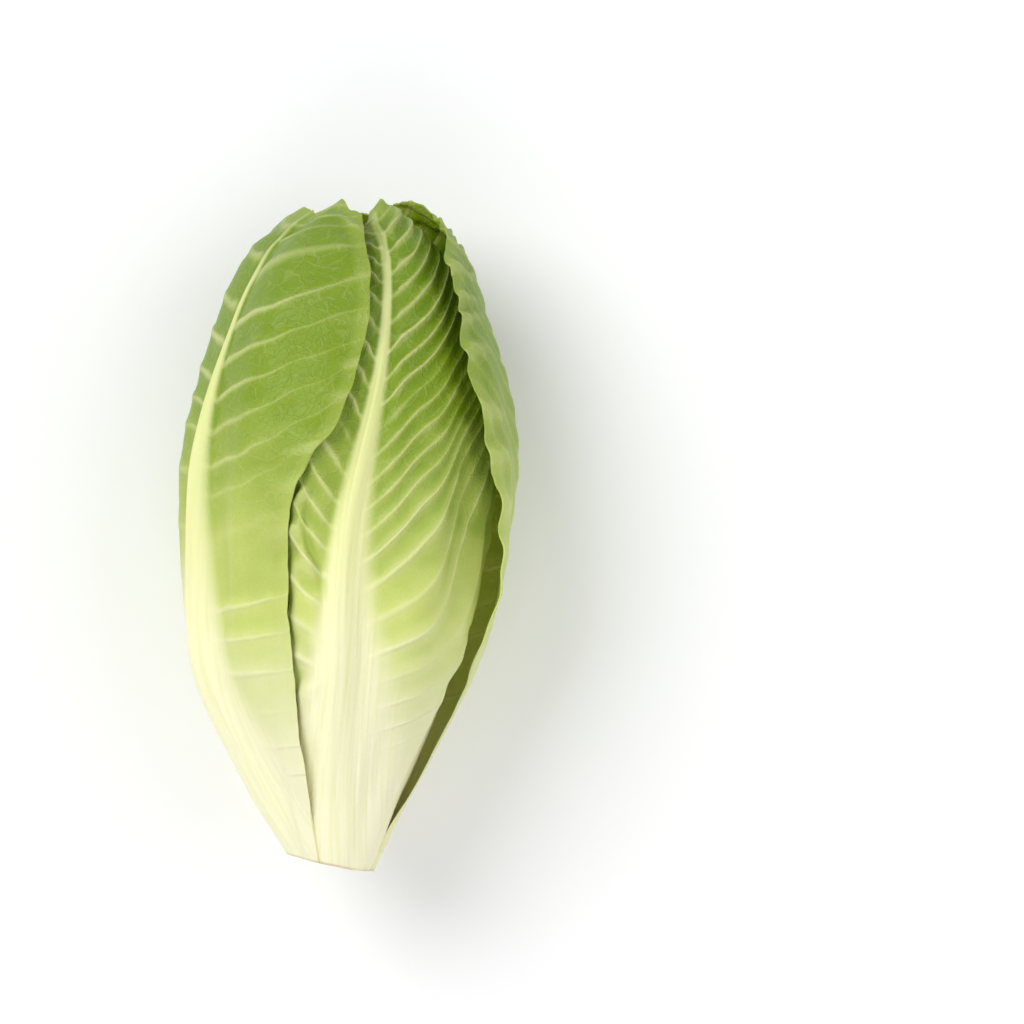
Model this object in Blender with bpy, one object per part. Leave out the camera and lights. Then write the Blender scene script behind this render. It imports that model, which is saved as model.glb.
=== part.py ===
"""A small romaine lettuce head, cut at its stem and lying on its side. Metres, +Z up.

The head's tips point along +Y and its cut stem along -Y, and it rests on Z = 0.

Every leaf lies on a shell that wraps round the head. A place in the head is given by
  turn   the angle round the head, from +X towards +Z
  rise   how far up the head's outline the place is, from 0 at the cut stem to 1 at the tips
  level  how far out it is on the ray from the middle of the head to the outline, from 0 to 1
A leaf's level is the sum of what lies inside it there, so that the leaves nest and never cross.
"""

import math
from dataclasses import dataclass

import bmesh
import bpy
import numpy as np

# The head's outline: radius and height above the cut, at even steps of rise
OUTLINE_RADIUS = (0.0104, 0.0245, 0.0357, 0.0392, 0.0400, 0.0345, 0.0235, 0.0)
OUTLINE_HEIGHT = (0.0, 0.024, 0.0495, 0.076, 0.103, 0.1290, 0.1530, 0.1720)
# Where on the axis the ray to each of those points starts: the stem's tip first
MIDDLE_HEIGHT = (0.026, 0.032, 0.042, 0.054, 0.067, 0.079, 0.091, 0.102)

LEAN = 0.0067  # how far the tips lean towards +X
MIDDLE_X, MIDDLE_Y = 0.00406, 0.07783  # the middle of the head's box, from the cut stem's
CUT_SLANT = math.radians(12)  # the knife went through the stem at this angle
CUT_SLANT_REACH = 0.016
PRESSED_FLAT = 0.0070  # how far the head's own weight flattens the side it lies on
SAG = 0.12
FLOOR_OVERLAP = 0.0004

# Leaves, from the outermost inwards
LEAVES = 18
OUTER_LEAVES = 6
MIDDLE_LEAVES = 6
FIRST_AZIMUTH = 165.0
GOLDEN_ANGLE = 137.508
BLADE = 0.0008
LEAST_GAP = 0.00040
STEM_LEVEL = 0.15  # the share of each ray that the stem and its bud take
SMALLEST_LEAF = 0.30  # rib size of the innermost leaf, as a share of the outermost's

# The midrib, at even steps of rise
RIB_HEIGHT = (0.0027, 0.0029, 0.0021, 0.0012, 0.0004)
RIB_HALF_WIDTH = (0.0100, 0.0062, 0.0034, 0.0020, 0.0010)
RIB_CLEARANCE = 1.5  # the leaves outside a rib pass over it in a bump this much wider
RIB_CLEARANCE_LEAST = 0.006

# How a leaf's presence fades past its edge, for the leaves that lie on it
FADE_ACROSS = 0.42
FADE_UP = 0.16

# Between these rises the head's outer surface closes up to a smooth dome
TOP_OPEN = 0.55
TOP_CLOSED = 0.85

# A leaf waves and rolls outwards only where no other leaf lies on it
BARE_FROM = 1.05
BARE_TO = 1.35
RUFFLE_LENGTH = 0.13  # in rise
HUG = 0.6  # how far its bare sides close the space down to the leaf inside
HUG_GAP = 0.0014
HUG_FROM = 1.05
HUG_TO = 1.40
EDGE_ZONE = 0.5
TIP_ZONE = 0.80

# Columns across and rows up, for the outer, middle and heart leaves
GRIDS = ((14, 20), (12, 16), (9, 11))
COLUMN_BIAS = 1.3  # draws the columns towards the midrib

STEM_CLEARANCE = 0.0006
STEM_SIDES = 28
BUD_RADIUS = 0.0010
BUD_HEIGHT = 0.036

LEAF_GREEN = ((0.30, 0.42, 0.08), (0.50, 0.58, 0.16), (0.72, 0.74, 0.34))
STEM_CREAM = (0.86, 0.82, 0.62)


@dataclass
class Leaf:
    """One leaf. Angles are in degrees, at even steps of rise, and left is the side of rising turn."""

    azimuth: float
    drift: tuple = (0, 0, 0, 0, 0)
    left: tuple = (58, 62, 78, 88, 70)
    right: tuple = (58, 62, 78, 88, 70)
    tip: float = 0.95
    tip_skew: float = 0.0
    corner: float = 0.16
    ruffle: float = 0.0016
    roll_left: float = 0.001
    roll_right: float = 0.001
    phase: float = 0.0


# The leaves whose shape the photograph shows, by their place in the order
SEEN = {
    0: dict(
        drift=(0, -4, -9, -10, -14),
        right=(58, 55, 51, 74, 68),
        left=(58, 62, 80, 92, 100),
        tip=0.965,
        tip_skew=-0.03,
        corner=0.07,
        roll_right=0.0004,
        ruffle=0.0009,
    ),
    1: dict(tip=0.93, roll_left=0.0025, ruffle=0.0024, corner=0.13),
    2: dict(
        azimuth=95.0,
        drift=(0, -8, -11, -26, -34),
        left=(28, 26, 26, 48, 60),
        right=(58, 66, 80, 92, 84),
        tip=0.965,
        roll_left=0.0016,
        ruffle=0.0014,
        corner=0.10,
    ),
}


def curve(values, where):
    """A smooth curve through values spaced evenly from 0 to 1, read at where."""
    values = np.asarray(values, float)
    before, after = 2 * values[0] - values[1], 2 * values[-1] - values[-2]
    padded = np.concatenate([[before], values, [after]])
    place = np.clip(where, 0, 1) * (len(values) - 1)
    i = np.minimum(place.astype(int), len(values) - 2)
    f = place - i
    a, b, c, d = padded[i], padded[i + 1], padded[i + 2], padded[i + 3]
    return b + f / 2 * (c - a + f * (2 * a - 5 * b + 4 * c - d + f * (3 * (b - c) + d - a)))


def smooth(x, low, high):
    """0 at low, 1 at high, with a smooth step between."""
    t = np.clip((x - low) / (high - low), 0, 1)
    return t * t * (3 - 2 * t)


def grow_leaves():
    """The leaves in order, each turned from the last by the golden angle."""
    chance = np.random.default_rng(11)
    leaves = []
    for k in range(LEAVES):
        drift = chance.uniform(-12, 12)
        span = chance.uniform(0.92, 1.06)
        made = dict(
            azimuth=FIRST_AZIMUTH + k * GOLDEN_ANGLE,
            drift=tuple(drift * share for share in (0, 0.2, 0.5, 0.8, 1)),
            left=tuple(span * degrees for degrees in Leaf.left),
            right=tuple(span * degrees for degrees in Leaf.right),
            tip=chance.uniform(0.90, 0.955),
            tip_skew=chance.uniform(-0.02, 0.02),
            corner=chance.uniform(0.12, 0.20),
            roll_left=chance.uniform(0, 0.003),
            roll_right=chance.uniform(0, 0.003),
            phase=chance.uniform(0, 2 * math.pi),
        )
        leaves.append(Leaf(**{**made, **SEEN.get(k, {})}))
    return leaves


def size_of(k):
    """How big leaf k's rib is, as a share of the outermost leaf's."""
    return SMALLEST_LEAF + (1 - SMALLEST_LEAF) * (1 - k / (LEAVES - 1))


def nominal_level(k):
    """About how far out leaf k lies."""
    return STEM_LEVEL + (1 - STEM_LEVEL) * (1 - (k + 0.5) / LEAVES)


def shell_depth(k, rise):
    """Metres across the leaf for one unit of level, on leaf k's shell."""
    step = 0.004
    level = nominal_level(k)

    def at(where):
        radius, height = curve(OUTLINE_RADIUS, where), curve(OUTLINE_HEIGHT, where)
        middle = curve(MIDDLE_HEIGHT, where)
        return radius, height - middle, level * radius, middle + level * (height - middle)

    out, up, _, _ = at(rise)
    _, _, r0, h0 = at(rise - step)
    _, _, r1, h1 = at(rise + step)
    length = np.hypot(r1 - r0, h1 - h0)
    return (out * (h1 - h0) - up * (r1 - r0)) / length


def across_of(leaf, turn, rise):
    """How far a place lies from the leaf's midrib, as a share of the leaf's own half-width there."""
    middle = np.radians(leaf.azimuth + curve(leaf.drift, rise))
    away = (turn - middle + math.pi) % (2 * math.pi) - math.pi
    half = np.where(away > 0, curve(leaf.left, rise), curve(leaf.right, rise))
    return away, away / np.radians(half)


def top_of(leaf, across):
    """The rise of the leaf's top edge."""
    side = np.clip(across, -1.3, 1.3)
    rounded = np.abs(side) ** 3.2
    scallop = 0.006 * np.sin(9 * side + leaf.phase)
    return leaf.tip + leaf.tip_skew * side - leaf.corner * rounded + scallop


def presence(leaf, turn, rise, clear, gone):
    """1 where the leaf is, fading to 0 past its edge from clear to gone, in half-widths."""
    _, across = across_of(leaf, turn, rise)
    side = 1 - smooth(np.abs(across), clear, gone)
    over = rise - top_of(leaf, across)
    up = 1 - smooth(over, (clear - 1) * FADE_UP / FADE_ACROSS, (gone - 1) * FADE_UP / FADE_ACROSS)
    return side * up


def rib(k, leaf, turn, rise, widen=1.0, least=0.0):
    """The midrib's height over the blade."""
    away, _ = across_of(leaf, turn, rise)
    distance = away * curve(OUTLINE_RADIUS, rise) * nominal_level(k)
    width = np.maximum(size_of(k) * curve(RIB_HALF_WIDTH, rise) * widen, least)
    return size_of(k) * curve(RIB_HEIGHT, rise) * np.exp(-((distance / width) ** 2))


def share(leaves, k, turn, rise):
    """The level that leaf k takes up at a place, with the gap round it."""
    bump = 1.1 * rib(k, leaves[k], turn, rise, RIB_CLEARANCE, RIB_CLEARANCE_LEAST * size_of(k))
    there = presence(leaves[k], turn, rise, 1.0, 1.0 + FADE_ACROSS)
    return there * (BLADE + LEAST_GAP + bump) / shell_depth(k, rise)


def even_fullness(leaves, rise):
    """How much level all the leaves take up together, on the average round the head."""
    steps = np.linspace(0, 1, 41)
    turns = np.linspace(0, 2 * math.pi, 72, endpoint=False)
    all_round, at = np.meshgrid(turns, np.clip(steps, 0, 0.93))
    even = sum(share(leaves, k, all_round, at) for k in range(LEAVES)).mean(axis=1)
    return np.interp(rise, steps, even)


def stack(leaves, turn, rise):
    """The level of each leaf's inner face at a place, before the floor presses it.

    The leaves spread to fill the outline. Near the tips they close up to a smooth dome.
    """
    shares = np.stack([share(leaves, k, turn, rise) for k in range(LEAVES)])
    inside = shares[::-1].cumsum(axis=0)[::-1] - shares
    closed = smooth(rise, TOP_OPEN, TOP_CLOSED)
    full = even_fullness(leaves, rise) * (1 - closed) + shares.sum(axis=0) * closed
    return STEM_LEVEL + inside * (1 - STEM_LEVEL) / full


def surface(leaves, levels, outermost, turn, rise):
    """The level of the outer surface that the leaves from outermost inwards make."""
    top = np.full_like(turn, STEM_LEVEL)
    for k in range(outermost, LEAVES):
        thick = (BLADE + rib(k, leaves[k], turn, rise)) / shell_depth(k, rise)
        there = presence(leaves[k], turn, rise, HUG_FROM, HUG_TO)
        top = np.maximum(top, there * (levels[k] + thick))
    return top


def floor_squeeze(leaves, levels, turn, rise, axis_height):
    """How much the floor presses the levels together, or how far they sag to it under the weight."""
    down = np.maximum(-np.sin(turn), 1e-6)
    radius = np.maximum(curve(OUTLINE_RADIUS, rise), 1e-6)
    floor_level = (axis_height / down + FLOOR_OVERLAP) / radius
    fit = floor_level / surface(leaves, levels, 0, turn, rise)
    below = smooth(-np.sin(turn), 0.93, 0.97) * smooth(rise, 0.22, 0.32) * (1 - smooth(rise, 0.6, 0.7))
    return np.minimum(fit, 1 + below * np.clip(fit - 1, 0, SAG))


def free_edge(leaves, k, levels, turn, rise):
    """How leaf k's bare edge leaves its shell, in level: it hugs the leaf inside, waves and rolls."""
    leaf = leaves[k]
    depth = shell_depth(k, rise)
    bare = smooth(np.sin(turn), -0.75, -0.45)
    for outer in leaves[:k]:
        bare = bare * (1 - presence(outer, turn, rise, BARE_FROM, BARE_TO))
    _, across = across_of(leaf, turn, rise)
    side = smooth(np.abs(across), EDGE_ZONE, 1.0)
    tip = smooth(rise / top_of(leaf, across), TIP_ZONE, 1.0)
    zone = 1 - (1 - side) * (1 - 0.7 * tip)
    under = surface(leaves, levels, k + 1, turn, rise) + HUG_GAP / depth
    hug = HUG * side * smooth(rise, 0.05, 0.25) * np.maximum(0, levels[k] - under)
    wave = 0.5 + 0.5 * np.sin(2 * math.pi * rise / RUFFLE_LENGTH + 4 * across + leaf.phase)
    roll = np.where(across > 0, leaf.roll_left, leaf.roll_right) * side**2
    out = smooth(rise, 0.12, 0.45) * (zone * wave * leaf.ruffle + roll)
    return bare * (out / depth - hug)


def place(turn, rise, level, axis_height):
    """The point in space of a place in the head."""
    out = level * curve(OUTLINE_RADIUS, rise)
    middle = curve(MIDDLE_HEIGHT, rise)
    up = middle + level * (curve(OUTLINE_HEIGHT, rise) - middle)
    return settle(out * np.cos(turn), up, out * np.sin(turn) + axis_height)


def settle(x, y, z):
    """Leans the head, slants its cut and moves the middle of its box to the origin."""
    y = np.asarray(y, float)
    slanted = y - math.tan(CUT_SLANT) * x * np.exp(-y / CUT_SLANT_REACH)
    leaned = x + LEAN * (y / OUTLINE_HEIGHT[-1]) ** 2
    return np.stack([leaned - MIDDLE_X, slanted - MIDDLE_Y, z], axis=-1)


def leaf_points(leaves, k, across, along, outside, axis_height):
    """Where the vertices of leaf k's grid lie. outside is True on its outer face."""
    leaf = leaves[k]
    rise = np.clip(along * top_of(leaf, across), 0, 1)
    half = np.where(across > 0, curve(leaf.left, rise), curve(leaf.right, rise))
    turn = np.radians(leaf.azimuth + curve(leaf.drift, rise) + across * half)
    depth = shell_depth(k, rise)
    levels = stack(leaves, turn, rise)
    level = levels[k] * floor_squeeze(leaves, levels, turn, rise, axis_height)
    level = level + free_edge(leaves, k, levels, turn, rise)
    thick = BLADE + rib(k, leaf, turn, rise)
    outer = place(turn, rise, level + thick / depth, axis_height)
    inner = place(turn, rise, level, axis_height)
    lift = np.maximum(0, -outer[:, 2])
    points = np.where(outside[:, None], outer, inner)
    points[:, 2] += lift
    return points


def lowest(leaves):
    """How far below its axis the head would reach if no floor pressed it."""
    across, along = (grid.ravel() for grid in np.meshgrid(np.linspace(-1, 1, 61), np.linspace(0, 1, 61)))
    outside = np.ones_like(across, bool)
    high_up = 1.0
    outer = [leaf_points(leaves, k, across, along, outside, high_up) for k in range(OUTER_LEAVES)]
    return high_up - np.concatenate(outer)[:, 2].min()


def make_material(name, colour, roughness):
    """A plain finish for one kind of piece."""
    material = bpy.data.materials.new(name)
    material.use_nodes = True
    shader = material.node_tree.nodes["Principled BSDF"]
    shader.inputs["Base Color"].default_value = (*colour, 1.0)
    shader.inputs["Roughness"].default_value = roughness
    return material


def add_object(name, bm, material, collection):
    """Turns a bmesh into a named, smooth-shaded object."""
    bmesh.ops.recalc_face_normals(bm, faces=bm.faces[:])
    if bm.calc_volume(signed=True) < 0:
        bmesh.ops.reverse_faces(bm, faces=bm.faces[:])
    mesh = bpy.data.meshes.new(name)
    bm.to_mesh(mesh)
    bm.free()
    mesh.shade_smooth()
    mesh.set_sharp_from_angle(angle=math.radians(50))
    mesh.materials.append(material)
    obj = bpy.data.objects.new(name, mesh)
    collection.objects.link(obj)
    return obj


def make_leaf(leaves, k, name, grid, material, collection, axis_height):
    """A leaf: a flat grid, triangulated, thickened and then laid on its shell."""
    columns, rows = grid
    bm = bmesh.new()
    bmesh.ops.create_grid(bm, x_segments=columns, y_segments=rows, size=1)
    bmesh.ops.triangulate(bm, faces=bm.faces[:])
    raised = bmesh.ops.extrude_face_region(bm, geom=bm.faces[:], use_keep_orig=True)
    outer = {item for item in raised["geom"] if isinstance(item, bmesh.types.BMVert)}
    verts = bm.verts[:]
    flat = np.array([vert.co for vert in verts], float)
    across = np.sign(flat[:, 0]) * np.abs(flat[:, 0]) ** COLUMN_BIAS
    outside = np.array([vert in outer for vert in verts])
    points = leaf_points(leaves, k, across, (flat[:, 1] + 1) / 2, outside, axis_height)
    for vert, point in zip(verts, points):
        vert.co = point
    return add_object(name, bm, material, collection)


def make_stem(material, collection, axis_height):
    """The cut stem: a cone that the leaves grow from, with the bud on its tip."""
    foot, tip = OUTLINE_RADIUS[0] - STEM_CLEARANCE, MIDDLE_HEIGHT[0]
    shoulder = tip - (BUD_RADIUS + STEM_CLEARANCE) * tip / OUTLINE_RADIUS[0]
    outline = (
        (0.0, 0.0),
        (foot * 0.97, 0.0),
        (foot - 0.0004, 0.0006),
        (BUD_RADIUS, shoulder),
        (BUD_RADIUS, tip + 0.002),
        (BUD_RADIUS * 1.8, tip + 0.005),
        (BUD_RADIUS, BUD_HEIGHT - 0.001),
        (0.0, BUD_HEIGHT),
    )
    bm = bmesh.new()
    ring = [bm.verts.new((radius, height, 0)) for radius, height in outline]
    for low, high in zip(ring, ring[1:]):
        bm.edges.new((low, high))
    bmesh.ops.spin(
        bm,
        geom=bm.verts[:] + bm.edges[:],
        axis=(0, 1, 0),
        angle=2 * math.pi,
        steps=STEM_SIDES,
        use_merge=True,
    )
    bmesh.ops.remove_doubles(bm, verts=bm.verts[:], dist=0.00001)
    for vert in bm.verts:
        x, y, z = vert.co
        vert.co = settle(x, y, z + axis_height)
    return add_object("stem", bm, material, collection)


def clear_scene():
    """Removes the startup objects."""
    for obj in list(bpy.data.objects):
        bpy.data.objects.remove(obj, do_unlink=True)


def main():
    clear_scene()
    collection = bpy.data.collections.new("romaine_lettuce_head")
    bpy.context.scene.collection.children.link(collection)
    leaves = grow_leaves()
    axis_height = lowest(leaves) - PRESSED_FLAT
    make_stem(make_material("stem_cream", STEM_CREAM, 0.5), collection, axis_height)
    kinds = (("outer", OUTER_LEAVES), ("middle", MIDDLE_LEAVES), ("heart", LEAVES))
    greens = [
        make_material(f"{kind}_leaf_green", colour, 0.45)
        for (kind, _), colour in zip(kinds, LEAF_GREEN)
    ]
    k = 0
    for (kind, count), grid, material in zip(kinds, GRIDS, greens):
        for number in range(1, min(count, LEAVES - k) + 1):
            name = f"{kind}_leaf_{number}"
            make_leaf(leaves, k, name, grid, material, collection, axis_height)
            k += 1


main()
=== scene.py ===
"""The looks of a small romaine lettuce head, cut at its stem and lying on its side.

Every leaf is made again on the shell that the frame's leaf lies on, with its veins, puckers and
ruffled margin. A place in the head is given by
  turn   the angle round the head, from +X towards +Z
  rise   how far up the head's outline the place is, from 0 at the cut stem to 1 at the tips
  level  how far out it is on the ray from the middle of the head to the outline, from 0 to 1
"""

import math
from dataclasses import dataclass

import bmesh
import bpy
import numpy as np
from bpy.props import FloatProperty, FloatVectorProperty, PointerProperty
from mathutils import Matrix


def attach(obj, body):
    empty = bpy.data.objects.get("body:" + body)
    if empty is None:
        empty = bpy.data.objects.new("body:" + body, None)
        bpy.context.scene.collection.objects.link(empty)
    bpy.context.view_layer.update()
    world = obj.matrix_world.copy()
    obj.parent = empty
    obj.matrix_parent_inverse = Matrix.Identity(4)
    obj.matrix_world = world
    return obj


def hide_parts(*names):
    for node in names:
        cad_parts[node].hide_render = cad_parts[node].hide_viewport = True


bl_info = {
    "name": "Romaine lettuce head",
    "version": (1, 0, 0),
    "blender": (4, 5, 0),
    "location": "3D View > Sidebar > Lettuce",
    "description": "Dresses a romaine lettuce head with veined, ruffled leaves",
    "category": "Object",
}

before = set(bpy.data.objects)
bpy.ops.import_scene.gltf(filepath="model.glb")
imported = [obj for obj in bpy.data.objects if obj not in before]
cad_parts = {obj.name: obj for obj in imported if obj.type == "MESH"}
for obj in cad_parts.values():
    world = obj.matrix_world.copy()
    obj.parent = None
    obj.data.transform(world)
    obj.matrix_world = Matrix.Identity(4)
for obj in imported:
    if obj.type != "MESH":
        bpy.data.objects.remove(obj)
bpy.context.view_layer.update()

# The head's outline: radius and height above the cut, at even steps of rise
OUTLINE_RADIUS = (0.0104, 0.0245, 0.0357, 0.0392, 0.0400, 0.0345, 0.0235, 0.0)
OUTLINE_HEIGHT = (0.0, 0.024, 0.0495, 0.076, 0.103, 0.1290, 0.1530, 0.1720)
# Where on the axis the ray to each of those points starts: the stem's tip first
MIDDLE_HEIGHT = (0.026, 0.032, 0.042, 0.054, 0.067, 0.079, 0.091, 0.102)

LEAN = 0.0067  # how far the tips lean towards +X
MIDDLE_X, MIDDLE_Y = 0.00406, 0.07783  # the middle of the head's box, from the cut stem's
CUT_SLANT = math.radians(12)
CUT_SLANT_REACH = 0.016  # how far up the head the slant of its cut dies away
PRESSED_FLAT = 0.0070  # how much lower the head lies than an unpressed one would
SAG = 0.12  # the most that the underside sags to the floor, as a share of its level
FLOOR_OVERLAP = 0.0004

LEAVES = 18
OUTER_LEAVES = 6
FIRST_AZIMUTH = 165.0
GOLDEN_ANGLE = 137.508
SHELL_BLADE = 0.0008  # the frame's leaves are this thick
LEAST_GAP = 0.00040  # between one leaf and the next
STEM_LEVEL = 0.15
SMALLEST_LEAF = 0.30  # the innermost leaf's rib, as a share of the outermost's

# The outermost leaf's midrib, at even steps of rise
RIB_HEIGHT = (0.0027, 0.0029, 0.0021, 0.0012, 0.0004)
RIB_HALF_WIDTH = (0.0100, 0.0062, 0.0034, 0.0020, 0.0010)
# The room that the stack of leaves keeps for a rib is this many times its height, and wider by
# this factor and at least this half-width
RIB_ROOM = 1.1
RIB_CLEARANCE = 1.5
RIB_CLEARANCE_LEAST = 0.006
# Past its edge a leaf's room fades out, over this share of its half-width and this much rise
FADE_ACROSS = 0.42
FADE_UP = 0.16
# Below TOP_OPEN the leaves lie as they grew. From TOP_CLOSED up they fill the outline.
TOP_OPEN = 0.55
TOP_CLOSED = 0.85
LEAST_FULLNESS = 0.15  # the level that they take up at the very tip, where few of them reach

# A leaf lies bare from this to this many half-widths off the leaves outside it
BARE_FROM = 1.05
BARE_TO = 1.35
RUFFLE_LENGTH = 0.13
# A bare margin closes this share of its gap to the leaf inside, but for HUG_GAP. That leaf's
# surface fades out from this to this many half-widths off its midrib.
HUG = 0.6
HUG_GAP = 0.0014
HUG_FROM = 1.05
HUG_TO = 1.40
# Where a leaf's margin begins, as a share of its half-width and of its height
EDGE_ZONE = 0.5
TIP_ZONE = 0.80
CRIMP_LENGTH = 0.0105

# Columns across and rows up each leaf, from the outermost
FINE_GRIDS = (
    *((176, 208), (150, 170), (176, 208)),
    *(3 * ((130, 150),)),
    *(6 * ((90, 110),)),
    *(6 * ((60, 70),)),
)
KINDS = {"outer": range(0, 6), "middle": range(6, 12), "heart": range(12, 18)}
STEM_SIDES = 144
# The stem's side lies this far inside the outline, behind the leaves' fleshy bases
STEM_INSET = 0.0014
FLESHY_LEVEL = 0.80  # how far in those bases reach
CUT_LIP = 0.00015  # how far the cut bases stand proud of the stem
SOFT_PASSES, SOFT_COLUMNS = 90, 177  # how often a level is evened out, on a grid this wide
CREST_HEIGHT = 0.0009  # relief of this height takes the skin from painted shade in a hollow to a painted highlight on a crest
SHARP_LEAF, SHARP_STEM = math.radians(65), math.radians(40)

# The lights: where each stands, how broad it is and its watts
LIGHTS = {
    "key": ((-0.60, 0.50, 1.05), 0.8, 9.0),
    "fill": ((0.80, 0.10, 0.90), 1.0, 3.0),
    "front": ((-0.10, -0.90, 0.80), 0.9, 2.6),
}
AIR_COLOUR, AIR_STRENGTH = (0.97, 0.98, 1.0, 1.0), 0.54
FLOOR_HALF_WIDTH = 3.0
# The photograph looks straight down. Its picture is this wide at the height of the head's axis,
# and the head lies left of the picture's middle.
LENS_HEIGHT, PICTURE_WIDTH, SENSOR_WIDTH = 1.2, 0.2434, 36.0
PICTURE_X, PICTURE_Y = 0.0387, 0.0057

# Seeds of the soft noises. Most have the leaf's number added.
VEIN_GAPS, VEIN_WAVES, VEIN_STRENGTHS, BLISTERS, CRIMPS, MARGIN_LOBES = 7, 17, 11, 27, 37, 40
CRUMPLES, MARGIN_NICKS, TOP_NICKS, TOP_LOBES = 57, 70, 80, 90
STRIP_BENDS, FIBRES, STRIP_KNOBS, CUT_DISH = 3, 5, 9, 3

# The leaves that close over the heart reach nearer to the very tip
CLOSING_TIPS = {3: 0.966, 4: 0.972, 5: 0.982, 7: 0.985, 9: 0.988, 10: 0.98}


@dataclass
class Leaf:
    """One leaf. Angles are in degrees. A tuple of them is at even steps of rise."""

    azimuth: float  # where its midrib stands at the cut
    drift: tuple = (0, 0, 0, 0, 0)  # how far the midrib wanders from there
    left: tuple = (58, 62, 78, 88, 70)  # how far it reaches to the side of rising turn
    right: tuple = (58, 62, 78, 88, 70)
    tip: float = 0.95  # the rise of its tip
    tip_skew: float = 0.0  # how much higher its top is at the left
    corner: float = 0.16  # how much lower its top is at its sides
    ruffle: float = 0.0016
    roll_left: float = 0.001  # how far its margins turn outwards
    roll_right: float = 0.001
    phase: float = 0.0  # of its ruffles, crimps and scallops
    vein_slope: float = 0.45  # how steeply the side veins climb away from the midrib
    vein_bend: float = 5.0  # how much steeper they climb with each metre from it
    vein_spacing: float = 0.0072
    quilted: float = 1.0  # how much the blade bulges between its side veins
    crimp: float = 1.0  # how much its margin is crimped
    strip: bool = False  # whether a knobbly strip runs up the left of its midrib
    broad: tuple = (0.0, 0.0)  # how much broader the fleshy part is to the midrib's left and right


# The strip's middle, from the midrib's, and its half-width, at even steps of rise
STRIP_MIDDLE = (0.0030, 0.0045, 0.0075, 0.0097, 0.0125, 0.0098, 0.0098, 0.0098, 0.0098)
STRIP_HALF_WIDTH = (0.0030, 0.0030, 0.0034, 0.0042, 0.0020, 0.0012, 0.0012, 0.0012, 0.0012)
STRIP_HEIGHT = 0.0023
GROOVE_HALF_WIDTH, GROOVE_DEPTH = 0.0011, 0.0007

# The leaves that the photograph shows
SEEN = {
    0: dict(
        drift=(0, -4, -9, -10, -14),
        right=(58, 57, 54, 50, 50, 68, 76, 73, 68),
        left=(58, 62, 80, 92, 100),
        tip=0.932,
        tip_skew=-0.05,
        phase=6.07,
        corner=0.07,
        roll_right=0.0004,
        ruffle=0.0009,
        vein_slope=0.20,
        vein_bend=4.0,
        vein_spacing=0.0098,
        quilted=0.7,
        crimp=0.6,
        broad=(2.6, 0.3),
    ),
    1: dict(tip=0.93, roll_left=0.0025, ruffle=0.0024, corner=0.13, vein_slope=0.5),
    2: dict(
        azimuth=95.0,
        drift=(0, -8, -11, -26, -34),
        left=(28, 26, 26, 48, 60),
        right=(58, 66, 80, 92, 84),
        tip=0.940,
        roll_left=0.0016,
        ruffle=0.0014,
        corner=0.10,
        vein_slope=0.95,
        vein_bend=6.0,
        vein_spacing=0.0068,
        quilted=1.7,
        crimp=1.6,
        strip=True,
        broad=(0.1, 0.9),
    ),
}


def linear(red, green, blue):
    """A colour picked on a screen, 0 to 255, as Blender's linear light."""
    parts = (value / 255 for value in (red, green, blue))
    return tuple(v / 12.92 if v <= 0.04045 else ((v + 0.055) / 1.055) ** 2.4 for v in parts)


PALER = {"outer": 0.0, "middle": 0.25, "heart": 0.6}  # how much paler than the outermost leaves
PALE_TIP = linear(196, 210, 96)
DEEP_GREEN_AND_SHADE = (0.80, 0.88, 0.62)  # a deeper green, as a share of the blade's colour: the leaf's own tone in speckles and between side veins, and painted shade in hollows and creases
STEM_CREAM, STEM_STRAW = linear(247, 241, 214), linear(228, 220, 168)
STEM_RING = linear(214, 208, 140)


class LETTUCE_PG_settings(bpy.types.PropertyGroup):
    """The sizes and colours that a user would change."""

    blade: FloatProperty(
        name="Blade",
        description="Thickness of a leaf's blade",
        default=0.0006,
        min=0.0002,
        max=0.0010,
        unit="LENGTH",
    )
    vein_height: FloatProperty(
        name="Vein height",
        description="How far the side veins stand out of the blade",
        default=0.00055,
        min=0.0,
        max=0.0015,
        unit="LENGTH",
    )
    quilt_height: FloatProperty(
        name="Quilting",
        description="How far the blade bulges between its side veins",
        default=0.00055,
        min=0.0,
        max=0.002,
        unit="LENGTH",
    )
    crimp_height: FloatProperty(
        name="Crimp",
        description="How far the bare margins wave",
        default=0.0011,
        min=0.0,
        max=0.003,
        unit="LENGTH",
    )
    base_colour: FloatVectorProperty(
        name="Leaf base",
        description="Colour of a leaf by the stem",
        subtype="COLOR",
        size=3,
        min=0.0,
        max=1.0,
        default=linear(250, 246, 208),
    )
    low_colour: FloatVectorProperty(
        name="Lower blade",
        description="Colour of the blade a third of the way up",
        subtype="COLOR",
        size=3,
        min=0.0,
        max=1.0,
        default=linear(207, 218, 122),
    )
    blade_colour: FloatVectorProperty(
        name="Upper blade",
        description="Colour of the green part of the blade",
        subtype="COLOR",
        size=3,
        min=0.0,
        max=1.0,
        default=linear(130, 156, 26),
    )
    tip_colour: FloatVectorProperty(
        name="Leaf tip",
        description="Colour of the blade at the tip",
        subtype="COLOR",
        size=3,
        min=0.0,
        max=1.0,
        default=linear(112, 140, 22),
    )
    rib_colour: FloatVectorProperty(
        name="Midrib",
        description="Colour of the midrib",
        subtype="COLOR",
        size=3,
        min=0.0,
        max=1.0,
        default=linear(234, 235, 172),
    )
    cut_colour: FloatVectorProperty(
        name="Cut rim",
        description="Colour that the knife's cut has turned at its rim",
        subtype="COLOR",
        size=3,
        min=0.0,
        max=1.0,
        default=linear(206, 158, 112),
    )
    floor_colour: FloatVectorProperty(
        name="Floor",
        description="Colour of the studio floor",
        subtype="COLOR",
        size=3,
        min=0.0,
        max=1.0,
        default=(0.92, 0.92, 0.92),
    )


# ---- the head's form ----


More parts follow.
